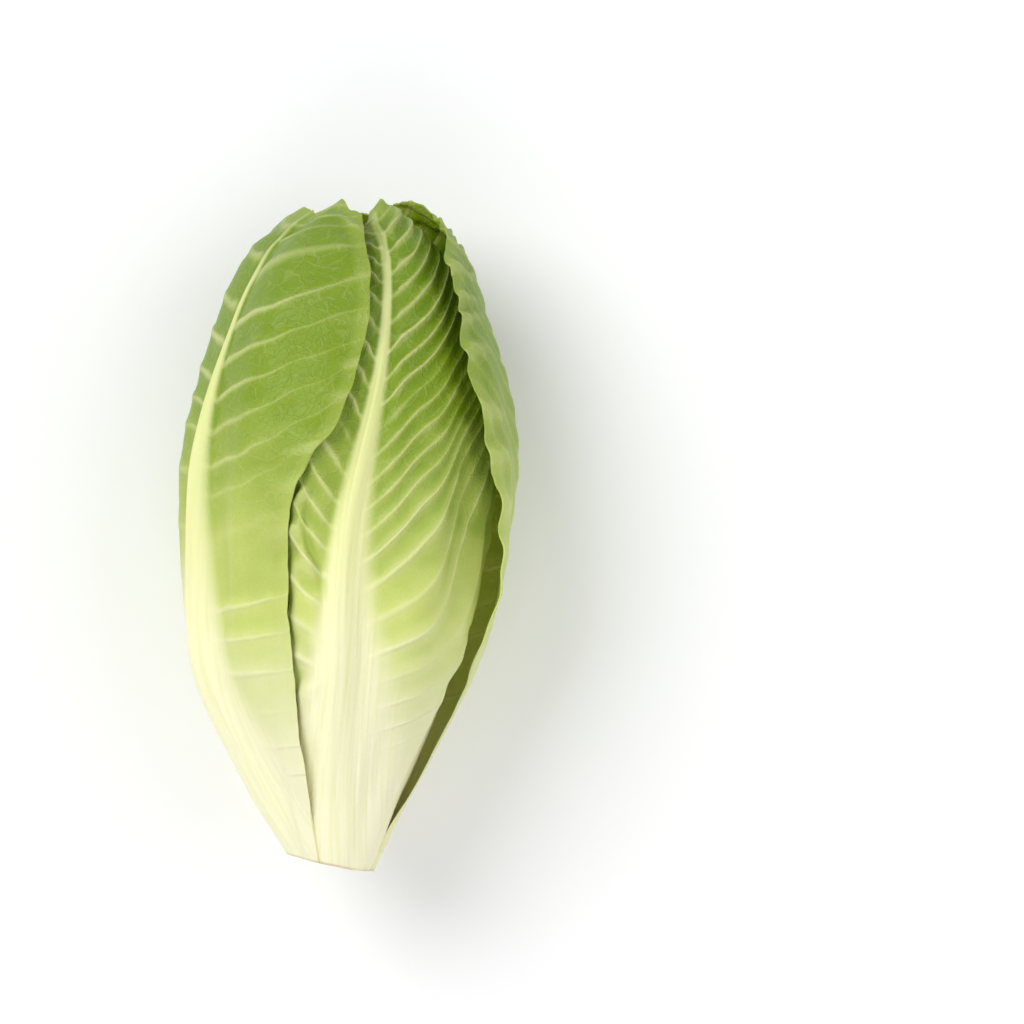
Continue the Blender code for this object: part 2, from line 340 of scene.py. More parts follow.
def curve(values, where):
    """A smooth curve through values spaced evenly from 0 to 1, read at where."""
    values = np.asarray(values, float)
    before, after = 2 * values[0] - values[1], 2 * values[-1] - values[-2]
    padded = np.concatenate([[before], values, [after]])
    place = np.clip(where, 0, 1) * (len(values) - 1)
    i = np.minimum(place.astype(int), len(values) - 2)
    f = place - i
    a, b, c, d = padded[i], padded[i + 1], padded[i + 2], padded[i + 3]
    return b + f / 2 * (c - a + f * (2 * a - 5 * b + 4 * c - d + f * (3 * (b - c) + d - a)))


def smooth(x, low, high):
    """0 at low, 1 at high, with a smooth step between."""
    t = np.clip((x - low) / (high - low), 0, 1)
    return t * t * (3 - 2 * t)


def grow_leaves():
    """The leaves in order, each turned from the last by the golden angle."""
    chance = np.random.default_rng(11)
    leaves = []
    for k in range(LEAVES):
        drift = chance.uniform(-12, 12)
        span = chance.uniform(0.92, 1.06)
        made = dict(
            azimuth=FIRST_AZIMUTH + k * GOLDEN_ANGLE,
            drift=tuple(drift * share for share in (0, 0.2, 0.5, 0.8, 1)),
            left=tuple(span * degrees for degrees in Leaf.left),
            right=tuple(span * degrees for degrees in Leaf.right),
            tip=chance.uniform(0.90, 0.955),
            tip_skew=chance.uniform(-0.02, 0.02),
            corner=chance.uniform(0.12, 0.20),
            roll_left=chance.uniform(0, 0.003),
            roll_right=chance.uniform(0, 0.003),
            phase=chance.uniform(0, 2 * math.pi),
        )
        leaves.append(Leaf(**{**made, **SEEN.get(k, {})}))
    for k, tip in CLOSING_TIPS.items():
        leaves[k].tip = tip
    return leaves


def size_of(k):
    """How big leaf k's rib is, as a share of the outermost leaf's."""
    return SMALLEST_LEAF + (1 - SMALLEST_LEAF) * (1 - k / (LEAVES - 1))


def nominal_level(k):
    """About how far out leaf k lies."""
    return STEM_LEVEL + (1 - STEM_LEVEL) * (1 - (k + 0.5) / LEAVES)


def shell_depth(k, rise):
    """Metres across the leaf for one unit of level, on leaf k's shell."""
    step = 0.004
    level = nominal_level(k)

    def at(where):
        radius, height = curve(OUTLINE_RADIUS, where), curve(OUTLINE_HEIGHT, where)
        middle = curve(MIDDLE_HEIGHT, where)
        return radius, height - middle, level * radius, middle + level * (height - middle)

    out, up, _, _ = at(rise)
    _, _, r0, h0 = at(rise - step)
    _, _, r1, h1 = at(rise + step)
    length = np.hypot(r1 - r0, h1 - h0)
    return (out * (h1 - h0) - up * (r1 - r0)) / length


def across_of(leaf, turn, rise):
    """How far a place lies from the leaf's midrib, as an angle and as a share of its half-width."""
    middle = np.radians(leaf.azimuth + curve(leaf.drift, rise))
    away = (turn - middle + math.pi) % (2 * math.pi) - math.pi
    half = np.where(away > 0, curve(leaf.left, rise), curve(leaf.right, rise))
    return away, away / np.radians(half)


def top_of(leaf, across):
    """The rise of the leaf's top edge."""
    side = np.clip(across, -1.3, 1.3)
    rounded = np.abs(side) ** 3.2
    scallop = 0.006 * np.sin(9 * side + leaf.phase)
    return leaf.tip + leaf.tip_skew * side - leaf.corner * rounded + scallop


def presence(leaf, turn, rise, clear, gone):
    """1 where the leaf is, fading to 0 past its edge from clear to gone, in half-widths."""
    _, across = across_of(leaf, turn, rise)
    side = 1 - smooth(np.abs(across), clear, gone)
    over = rise - top_of(leaf, across)
    up = 1 - smooth(over, (clear - 1) * FADE_UP / FADE_ACROSS, (gone - 1) * FADE_UP / FADE_ACROSS)
    return side * up


def rib(k, leaf, turn, rise, widen=1.0, least=0.0):
    """The midrib's height over the blade."""
    away, _ = across_of(leaf, turn, rise)
    distance = away * curve(OUTLINE_RADIUS, rise) * nominal_level(k)
    width = np.maximum(size_of(k) * curve(RIB_HALF_WIDTH, rise) * widen, least)
    return size_of(k) * curve(RIB_HEIGHT, rise) * np.exp(-((distance / width) ** 2))


def share(leaves, k, turn, rise):
    """The level that leaf k takes up at a place, with the gap round it."""
    least = RIB_CLEARANCE_LEAST * size_of(k)
    bump = RIB_ROOM * rib(k, leaves[k], turn, rise, RIB_CLEARANCE, least)
    there = presence(leaves[k], turn, rise, 1.0, 1.0 + FADE_ACROSS)
    return there * (SHELL_BLADE + LEAST_GAP + bump) / shell_depth(k, rise)


def even_fullness(leaves, rise):
    """How much level all the leaves take up together, on the average round the head."""
    steps = np.linspace(0, 1, 41)
    turns = np.linspace(0, 2 * math.pi, 72, endpoint=False)
    all_round, at = np.meshgrid(turns, np.clip(steps, 0, 0.93))
    even = sum(share(leaves, k, all_round, at) for k in range(LEAVES)).mean(axis=1)
    return np.interp(rise, steps, even)


def stack(leaves, turn, rise):
    """The level of each leaf's inner face at a place, before the floor presses it."""
    shares = np.stack([share(leaves, k, turn, rise) for k in range(LEAVES)])
    inside = shares[::-1].cumsum(axis=0)[::-1] - shares
    closed = smooth(rise, TOP_OPEN, TOP_CLOSED)
    total = shares.sum(axis=0)
    hollow = closed * np.maximum(0, LEAST_FULLNESS - total)
    full = even_fullness(leaves, rise) * (1 - closed) + total * closed + hollow
    return STEM_LEVEL + (inside + hollow) * (1 - STEM_LEVEL) / full


def surface(leaves, levels, outermost, turn, rise):
    """The level of the outer surface that the leaves from outermost inwards make."""
    top = np.full_like(turn, STEM_LEVEL)
    for k in range(outermost, LEAVES):
        thick = (SHELL_BLADE + rib(k, leaves[k], turn, rise)) / shell_depth(k, rise)
        there = presence(leaves[k], turn, rise, HUG_FROM, HUG_TO)
        top = np.maximum(top, there * (levels[k] + thick))
    return top


def floor_squeeze(leaves, levels, turn, rise, axis_height):
    """How much the floor presses the levels together, or how far they sag to it."""
    down = np.maximum(-np.sin(turn), 1e-6)
    radius = np.maximum(curve(OUTLINE_RADIUS, rise), 1e-6)
    floor_level = (axis_height / down + FLOOR_OVERLAP) / radius
    fit = floor_level / surface(leaves, levels, 0, turn, rise)
    below = smooth(-np.sin(turn), 0.80, 0.97)
    heavy = smooth(rise, 0.14, 0.32) * (1 - smooth(rise, 0.6, 0.78))
    return np.minimum(fit, 1 + below * heavy * np.clip(fit - 1, 0, SAG))


def bareness(leaves, k, turn, rise):
    """1 where no other leaf lies on leaf k and it is clear of the floor, 0 where one does."""
    bare = smooth(np.sin(turn), -0.75, -0.45)
    for outer in leaves[:k]:
        bare = bare * (1 - presence(outer, turn, rise, BARE_FROM, BARE_TO))
    return bare


def edge_of(leaf, across, rise):
    """How near a place is to the leaf's sides, and to its sides or top, 1 at the margin."""
    side = smooth(np.abs(across), EDGE_ZONE, 1.0)
    tip = smooth(rise / top_of(leaf, across), TIP_ZONE, 1.0)
    return side, tip


def free_edge(leaves, k, levels, turn, rise, bare):
    """How leaf k's bare edge leaves its shell, in level: it hugs, waves and rolls."""
    leaf = leaves[k]
    depth = shell_depth(k, rise)
    _, across = across_of(leaf, turn, rise)
    side, tip = edge_of(leaf, across, rise)
    zone = 1 - (1 - side) * (1 - 0.7 * tip)
    under = surface(leaves, levels, k + 1, turn, rise) + HUG_GAP / depth
    hug = HUG * side * smooth(rise, 0.05, 0.25) * np.maximum(0, levels[k] - under)
    wave = 0.5 + 0.5 * np.sin(2 * math.pi * rise / RUFFLE_LENGTH + 4 * across + leaf.phase)
    roll = np.where(across > 0, leaf.roll_left, leaf.roll_right) * side**2
    out = smooth(rise, 0.12, 0.45) * (zone * wave * leaf.ruffle + roll)
    return bare * (out / depth - hug)


def place(turn, rise, level, axis_height, by_cut=0.0):
    """The point in space of a place in the head. by_cut is 1 where a leaf meets the cut."""
    out = level * curve(OUTLINE_RADIUS, rise)
    middle = curve(MIDDLE_HEIGHT, rise)
    up = middle + level * (curve(OUTLINE_HEIGHT, rise) - middle)
    up = up - by_cut * (MIDDLE_HEIGHT[0] * (1 - level) - CUT_LIP)
    return settle(out * np.cos(turn), up, out * np.sin(turn) + axis_height)


def settle(x, y, z):
    """Leans the head, slants its cut and moves the middle of its box to the origin."""
    y = np.asarray(y, float)
    slanted = y - math.tan(CUT_SLANT) * x * np.exp(-y / CUT_SLANT_REACH)
    leaned = x + LEAN * (y / OUTLINE_HEIGHT[-1]) ** 2
    return np.stack([leaned - MIDDLE_X, slanted - MIDDLE_Y, z], axis=-1)


def lowest(leaves):
    """How far below its axis the head would reach if no floor pressed it."""
    across, along = np.meshgrid(np.linspace(-1, 1, 61), np.linspace(0, 1, 61))
    across, along = across.ravel(), along.ravel()
    high_up = 1.0
    deepest = []
    for k in range(OUTER_LEAVES):
        leaf = leaves[k]
        rise, turn = leaf_places(leaf, across, along)
        levels = stack(leaves, turn, rise)
        level = levels[k] * floor_squeeze(leaves, levels, turn, rise, high_up)
        level = level + free_edge(leaves, k, levels, turn, rise, bareness(leaves, k, turn, rise))
        thick = SHELL_BLADE + rib(k, leaf, turn, rise)
        outer = place(turn, rise, level + thick / shell_depth(k, rise), high_up)
        deepest.append(outer[:, 2].min())
    return high_up - min(deepest)


def leaf_places(leaf, across, along):
    """The rise and turn of places on a leaf."""
    rise = np.clip(along * top_of(leaf, across), 0, 1)
    half = np.where(across > 0, curve(leaf.left, rise), curve(leaf.right, rise))
    return rise, np.radians(leaf.azimuth + curve(leaf.drift, rise) + across * half)


# ---- the leaves' relief ----


def cloud(x, y, size, seed):
    """Soft, repeatable noise from -1 to 1, whose blobs are about size across."""
    table = np.random.default_rng(seed).uniform(-1, 1, (61, 61))
    x, y = x / size + 1000, y / size + 1000
    i, j = np.floor(x).astype(int), np.floor(y).astype(int)
    fx, fy = x - i, y - j
    fx, fy = fx * fx * (3 - 2 * fx), fy * fy * (3 - 2 * fy)
    low = table[i % 61, j % 61] * (1 - fx) + table[(i + 1) % 61, j % 61] * fx
    high = table[i % 61, (j + 1) % 61] * (1 - fx) + table[(i + 1) % 61, (j + 1) % 61] * fx
    return low * (1 - fy) + high * fy


def line_cloud(x, size, seed):
    """The same noise along one direction only."""
    return cloud(x, x * 0, size, seed)


def outline_length(rise):
    """Metres along the outline from the cut to each rise."""
    steps = np.linspace(0, 1, 201)
    run = np.hypot(np.diff(curve(OUTLINE_RADIUS, steps)), np.diff(curve(OUTLINE_HEIGHT, steps)))
    return np.interp(rise, steps, np.concatenate([[0], run.cumsum()]))


class LeafMap:
    """Where each vertex of a leaf's fine grid lies on the leaf, and the leaf's relief there."""

    def __init__(self, leaves, k, across, along, settings):
        leaf = leaves[k]
        self.leaf = leaf
        # The margin is nicked and lobed where the grid ends
        wobble = 0.020 * leaf.crimp * line_cloud(along * 14, 0.7, MARGIN_LOBES + k)
        wobble += 0.008 * leaf.crimp * line_cloud(along * 60, 0.9, MARGIN_NICKS + k)
        across = across * (1 + wobble * np.sign(across) * np.abs(across) ** 3)
        nick = 0.005 * line_cloud(across * 5, 0.8, TOP_LOBES + k)
        nick = nick + 0.002 * line_cloud(across * 12, 0.9, TOP_NICKS + k)
        along = along * (1 + nick * along**4)
        self.rise, self.turn = leaf_places(leaf, across, along)
        self.depth = shell_depth(k, self.rise)
        away, _ = across_of(leaf, self.turn, self.rise)
        radius = curve(OUTLINE_RADIUS, self.rise) * nominal_level(k)
        self.out = away * radius
        even_up = outline_length(self.rise) * (0.35 + 0.65 * nominal_level(k))
        self.up = even_up + self.shifted(leaves, k)
        self.bare = bareness(leaves, k, self.turn, self.rise)
        side, tip = edge_of(leaf, across, self.rise)
        self.margin = 1 - (1 - side) * (1 - tip)
        self.edge_run = even_up + tip * (1 - 0.8 * side) * self.out * 1.3
        self.flow = self.side_veins(k)
        self.strength = 0.62 + 0.5 * line_cloud(np.round(self.flow) * 3.7, 1.0, VEIN_STRENGTHS + k)
        broader = np.where(self.out > 0, *leaf.broad) * (1 - smooth(self.rise, 0.5, 0.8))
        rib_width = size_of(k) * curve(RIB_HALF_WIDTH, self.rise) * (1 + broader)
        self.rib_share = np.abs(self.out) / rib_width
        self.relief = self.make_relief(k, settings)

    def shifted(self, leaves, k):
        """How much further up the head each place is than it would be on an even shell."""
        middle, height = curve(MIDDLE_HEIGHT, self.rise), curve(OUTLINE_HEIGHT, self.rise)
        levels = stack(leaves, self.turn.ravel(), self.rise.ravel())[k].reshape(self.turn.shape)
        less_at_tip = 1 - 0.5 * smooth(self.rise, 0.7, 0.95)
        return (levels - nominal_level(k)) * (height - middle) * less_at_tip

    def side_veins(self, k):
        """A number that is whole on each side vein."""
        leaf = self.leaf
        reach = np.abs(self.out)
        climb = (leaf.vein_slope + leaf.vein_bend * reach) * reach
        start = self.up - climb * (0.3 + 0.7 * smooth(self.rise, 0.25, 0.6))
        side = np.where(self.out > 0, 0.45, 0.0)
        uneven = 0.5 * cloud(start, side, 0.017, VEIN_GAPS + k)
        uneven = uneven + 0.09 * cloud(self.out, start, 0.019, VEIN_WAVES + k)
        return start / (leaf.vein_spacing * (0.45 + 0.55 * nominal_level(k))) + side + uneven + 20

    def make_relief(self, k, settings):
        """How far the leaf's outer face stands off its shell, in metres."""
        on_rib = 1 - smooth(self.rib_share, 0.8, 2.0)
        relief = (1 - on_rib) * self.blade_relief(k, settings)
        relief = relief + on_rib * self.fibres() + self.crimps(k, settings)
        if self.leaf.strip:
            relief = self.with_strip(relief)
        flesh = size_of(k) * 0.0009 * np.exp(-((self.rib_share / 0.8) ** 2)) * max(self.leaf.broad)
        return relief + flesh * smooth(self.rise, 0.1, 0.3) * (1 - smooth(self.rise, 0.5, 0.75))

    def blade_relief(self, k, settings):
        """The side veins, which are the high lines, and the puckers between them."""
        leaf = self.leaf
        phase = self.flow - np.round(self.flow)
        reach = np.abs(self.out)
        width = 0.16 - 0.08 * np.clip(reach / 0.03, 0, 1)
        faded = self.strength * (1 - 0.60 * smooth(reach, 0.008, 0.034))
        vein = np.exp(-((phase / width) ** 2)) * faded
        bulge = np.cos(math.pi * phase) ** 2 * (0.4 + 0.6 * faded)
        quilt = leaf.quilted * settings.quilt_height
        blisters = 0.5 + 0.5 * cloud(self.out, self.up * 1.4, 0.0058, BLISTERS + k)
        crumple = 0.5 + 0.5 * cloud(self.out, self.up, 0.013, CRUMPLES + k)
        body = quilt * (0.9 * bulge + 0.75 * blisters * (1 - 0.5 * bulge) + 0.6 * crumple)
        grown = smooth(self.rise, 0.10, 0.42) * (1 - 0.6 * smooth(self.rise, 0.80, 0.95))
        return grown * (body + settings.vein_height * vein)

    def fibres(self):
        """The fine ridges along the midrib."""
        ridges = 0.00012 * cloud(self.out, self.up * 0.04, 0.0009, FIBRES)
        return ridges * smooth(self.rise, 0.02, 0.1)

    def crimps(self, k, settings):
        """The waves of a bare margin."""
        unevenly = 2.2 * line_cloud(self.edge_run, 0.012, CRIMPS + k) + self.leaf.phase
        crimp = 0.5 + 0.5 * np.sin(self.edge_run / CRIMP_LENGTH * 2 * math.pi + unevenly)
        where = smooth(self.rise, 0.2, 0.5) * (1 - 0.6 * smooth(self.rise, 0.86, 0.95))
        return settings.crimp_height * self.leaf.crimp * self.bare * self.margin**2 * where * crimp

    def with_strip(self, relief):
        """Lays the knobbly strip over the relief, with a groove on its side to the midrib."""
        half_width = curve(STRIP_HALF_WIDTH, self.rise)
        bend = 0.0007 * line_cloud(self.up, 0.006, STRIP_BENDS)
        past = self.out - curve(STRIP_MIDDLE, self.rise) + bend
        hump = np.exp(-((past / half_width / np.where(past > 0, 0.85, 1.0)) ** 4))
        hump = hump * smooth(self.rise, 0.12, 0.30) * (1 - smooth(self.rise, 0.50, 0.58))
        knobs = 0.72 + 0.46 * cloud(self.up, self.out * 0.6, 0.0040, STRIP_KNOBS)
        groove = np.exp(-(((past + 1.2 * half_width) / GROOVE_HALF_WIDTH) ** 2))
        groove = groove * smooth(self.rise, 0.34, 0.40) * (1 - smooth(self.rise, 0.47, 0.53))
        return relief * (1 - 0.6 * hump) + STRIP_HEIGHT * hump * knobs - GROOVE_DEPTH * groove


def blur(field, passes):
    """Evens out a field along its rows."""
    for _ in range(passes):
        padded = np.pad(field, ((0, 0), (1, 1)), mode="edge")
        field = (padded[:, :-2] + 2 * padded[:, 1:-1] + padded[:, 2:]) / 4
    return field


def soften(field, up, across):
    """Evens out a field up and across a leaf's grid."""
    return blur(blur(field, across).T, up).T


def soften_shell(field, rise):
    """Evens out a leaf's level, and more so round its tip, where the columns lie close together."""
    passes = SOFT_PASSES * (field.shape[1] / SOFT_COLUMNS) ** 2
    even = soften(field, int(passes), int(passes))
    tip = soften(field, int(0.5 * passes), int(9 * passes))
    return even + smooth(rise, 0.80, 0.92) * (tip - even)


def leaf_faces(leaves, k, spots, settings, axis_height):
    """Where the outer and the inner face of leaf k lie, at each place of its grid."""
    turn, rise, depth = spots.turn, spots.rise, spots.depth
    flat = [field.ravel() for field in (turn, rise, spots.bare)]
    levels = stack(leaves, *flat[:2])
    pressed = floor_squeeze(leaves, levels, *flat[:2], axis_height)
    on_shell = (levels[k] * pressed).reshape(turn.shape)
    lifted = free_edge(leaves, k, levels, *flat).reshape(turn.shape)
    clear_of_floor = smooth(np.sin(turn), -0.93, -0.80)
    above = smooth(np.sin(turn), -0.6, -0.2)
    on_shell = on_shell + above * (soften_shell(on_shell, rise) - on_shell)
    level = on_shell + soften_shell(lifted, rise) + spots.relief * clear_of_floor / depth
    thin = 1 - 0.45 * spots.margin**2
    thick = settings.blade * thin + rib(k, leaves[k], turn, rise)
    by_cut = 1 - smooth(rise, 0.0, 0.10)
    fleshy = by_cut * np.maximum(0, level - FLESHY_LEVEL) * (k < OUTER_LEAVES)
    outer = place(turn, rise, level + thick / depth, axis_height, by_cut)
    inner = place(turn, rise, level - fleshy, axis_height, by_cut)
    lift = np.maximum(0, -outer[..., 2])
    outer[..., 2] += lift
    inner[..., 2] += lift
    return outer, inner


# ---- making meshes ----


def mesh_values(mesh, name, values):
    """Gives each vertex a number that the material reads."""
    layer = mesh.attributes.new(name, "FLOAT", "POINT")
    layer.data.foreach_set("value", np.asarray(values, np.float32))


def make_leaf(leaves, k, name, material, settings, axis_height):
    """A fine leaf: a flat grid, thickened, laid on its shell and given its relief."""
    columns, rows = FINE_GRIDS[k]
    bm = bmesh.new()
    bmesh.ops.create_grid(bm, x_segments=columns, y_segments=rows, size=1)
    raised = bmesh.ops.extrude_face_region(bm, geom=bm.faces[:], use_keep_orig=True)
    bmesh.ops.translate(
        bm, vec=(0, 0, 1), verts=[v for v in raised["geom"] if isinstance(v, bmesh.types.BMVert)]
    )
    bmesh.ops.recalc_face_normals(bm, faces=bm.faces[:])
    # Laying the grid round the head mirrors it, so its faces are turned round first
    bmesh.ops.reverse_faces(bm, faces=bm.faces[:])
    mesh = bpy.data.meshes.new(name)
    bm.to_mesh(mesh)
    bm.free()

    across, along = np.meshgrid(np.linspace(-1, 1, columns + 1), np.linspace(0, 1, rows + 1))
    spots = LeafMap(leaves, k, across, along, settings)
    outer, inner = leaf_faces(leaves, k, spots, settings, axis_height)

    flat = np.empty(len(mesh.vertices) * 3, np.float32)
    mesh.vertices.foreach_get("co", flat)
    flat = flat.reshape(-1, 3)
    i = np.round((flat[:, 0] + 1) / 2 * columns).astype(int)
    j = np.round((flat[:, 1] + 1) / 2 * rows).astype(int)
    points = np.where(flat[:, 2:] > 0.5, outer[j, i], inner[j, i])
    mesh.vertices.foreach_set("co", points.astype(np.float32).ravel())

    corners = np.empty(len(mesh.loops), np.int32)
    mesh.loops.foreach_get("vertex_index", corners)
    spread = np.stack([spots.out, spots.up], axis=-1)[j, i] * 100
    uv = mesh.uv_layers.new(name="LeafMap")
    uv.data.foreach_set("uv", spread[corners].astype(np.float32).ravel())
    mesh_values(mesh, "rise", spots.rise[j, i])
    mesh_values(mesh, "flow", spots.flow[j, i])
    mesh_values(mesh, "strength", spots.strength[j, i])
    mesh_values(mesh, "reach", np.abs(spots.out)[j, i] * 100)
    mesh_values(mesh, "rib_share", spots.rib_share[j, i])
    mesh_values(mesh, "margin", spots.margin[j, i])
    # How far the relief stands out of its surroundings, which sets the painted shade in hollows and
    # the painted highlight on crests
    stands_out = spots.relief - soften(spots.relief, 30, 30)
    mesh_values(mesh, "crest", np.clip(0.5 + stands_out / CREST_HEIGHT, 0, 1)[j, i])
    mesh.shade_smooth()
    mesh.set_sharp_from_angle(angle=SHARP_LEAF)
    mesh.update()
    return add_piece(name, mesh, material, name)


def add_piece(name, mesh, material, node):
    """Puts a finished mesh into the scene as the piece that stands for a node of the frame."""
    mesh.materials.append(material)
    piece = bpy.data.objects.new(f"{name}_fine", mesh)
    bpy.context.scene.collection.objects.link(piece)
    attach(piece, "root")
    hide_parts(node)
    return piece


# ---- shaders ----


class Signal:
    """A socket that Python arithmetic works on: each operation adds a Math node."""

    def __init__(self, maker, socket):
        self.maker, self.socket = maker, socket

    def maths(self, operation, *others):
        """Adds the Math node of one operation."""
        return self.maker.node("ShaderNodeMath", {"operation": operation}, self, *others)

    def __add__(self, other):
        return self.maths("ADD", other)

    def __radd__(self, other):
        return self.maker.node("ShaderNodeMath", {"operation": "ADD"}, other, self)

    def __sub__(self, other):
        return self.maths("SUBTRACT", other)

    def __rsub__(self, other):
        return self.maker.node("ShaderNodeMath", {"operation": "SUBTRACT"}, other, self)

    def __mul__(self, other):
        return self.maths("MULTIPLY", other)

    def __truediv__(self, other):
        return self.maths("DIVIDE", other)


class Finish:
    """A material under construction."""

    def __init__(self, name):
        self.material = bpy.data.materials.new(name)
        self.material.use_nodes = True
        self.tree = self.material.node_tree
        self.shader = self.tree.nodes["Principled BSDF"]

    def node(self, kind, settings=None, *inputs, output=0, **named):
        """Adds a node, with its settings and stops set before its sockets are filled or linked."""
        made = self.tree.nodes.new(kind)
        for key, value in (settings or {}).items():
            if key == "stops":
                self.set_stops(made.color_ramp.elements, value)
            else:
                setattr(made, key, value)
        for socket, value in zip(made.inputs, inputs):
            self.fill(socket, value)
        for socket_name, value in named.items():
            self.fill(made.inputs[socket_name], value)
        return Signal(self, made.outputs[output])

    def set_stops(self, elements, stops):
        """Gives a colour ramp its stops."""
        elements.remove(elements[1])
        elements[0].position, elements[0].color = stops[0][0], (*stops[0][1], 1.0)
        for where, colour in stops[1:]:
            elements.new(where).color = (*colour, 1.0)

    def fill(self, socket, value):
        """Links a signal to an input, or sets its value."""
        if isinstance(value, Signal):
            self.tree.links.new(value.socket, socket)
        elif value is not None:
            needs_alpha = socket.type == "RGBA" and len(value) == 3
            socket.default_value = (*value, 1.0) if needs_alpha else value

    def attribute(self, name):
        """A number stored with the mesh."""
        return self.node("ShaderNodeAttribute", {"attribute_name": name}, output="Fac")

    def step(self, value, low, high):
        """0 at low, 1 at high, smoothly between."""
        settings = {"interpolation_type": "SMOOTHSTEP"}
        return self.node("ShaderNodeMapRange", settings, value, low, high, 0.0, 1.0)

    def mix(self, factor, first, second, blend="MIX"):
        """Mixes two colours."""
        settings = {"data_type": "RGBA", "blend_type": blend}
        return self.node("ShaderNodeMix", settings, factor, *5 * [None], first, second, output=2)

    def ramp(self, value, stops):
        """A colour that changes with value through the stops."""
        return self.node("ShaderNodeValToRGB", {"stops": stops}, value)

    def noise(self, vector, scale, detail=2.0, roughness=0.5, output=0):
        """Soft noise from 0 to 1, or as a colour."""
        named = dict(Vector=vector, Scale=scale, Detail=detail, Roughness=roughness)
        return self.node("ShaderNodeTexNoise", None, output=output, **named)

    def stretched(self, vector, scale):
        """Coordinates stretched by a factor each way."""
        return self.node("ShaderNodeMapping", None, Vector=vector, Scale=scale)

    def cells(self, vector, scale):
        """The distance to the nearest border of an irregular network."""
        settings = {"feature": "DISTANCE_TO_EDGE"}
        named = dict(Vector=vector, Scale=scale)
        return self.node("ShaderNodeTexVoronoi", settings, output="Distance", **named)

    def bump(self, height, strength, distance):
        """Raises the surface by height, which goes straight to the shader."""
        named = dict(Strength=strength, Distance=distance, Height=height)
        normal = self.node("ShaderNodeBump", None, output="Normal", **named)
        self.fill(self.shader.inputs["Normal"], normal)


def between(first, second, amount):
    """A colour part of the way from first to second."""
    return tuple(a + (b - a) * amount for a, b in zip(first, second))


def vein_nets(finish, leaf_map):
    """The coarse and the fine net between the side veins: 1 on the net, 0 off it."""
    bend = finish.noise(leaf_map, 2.2, output="Color")
    centred = finish.node("ShaderNodeVectorMath", {"operation": "SUBTRACT"}, bend, (0.5, 0.5, 0.5))
    pushed = finish.node("ShaderNodeVectorMath", {"operation": "SCALE"}, centred, Scale=0.35)
    warped = finish.node("ShaderNodeVectorMath", {"operation": "ADD"}, leaf_map, pushed)
    coarse_cells = finish.cells(finish.stretched(warped, (1.0, 1.5, 1.0)), 1.9)
    coarse_net = 1 - finish.step(coarse_cells, 0.0, 0.07)
    return coarse_net, 1 - finish.step(finish.cells(warped, 4.6), 0.0, 0.13)


def blade_ramp(finish, climb, base, low, green, tip):
    """The blade's colour from the stem to its tip."""
    stops = (
        (0.0, base),
        (0.16, between(base, low, 0.35)),
        (0.35, low),
        (0.48, between(low, green, 0.50)),
        (0.62, green),
        (0.80, between(green, tip, 0.6)),
        (1.0, tip),
    )
    return finish.ramp(climb, stops)


def rib_ramp(finish, rise, base, low, green, rib_tone):
    """The midrib's colour from the stem to its tip."""
    stops = (
        (0.0, base),
        (0.30, between(base, rib_tone, 0.3)),
        (0.45, rib_tone),
        (0.65, between(rib_tone, low, 0.45)),
        (0.85, between(rib_tone, green, 0.35)),
        (1.0, between(rib_tone, green, 0.6)),
    )
    return finish.ramp(rise, stops)


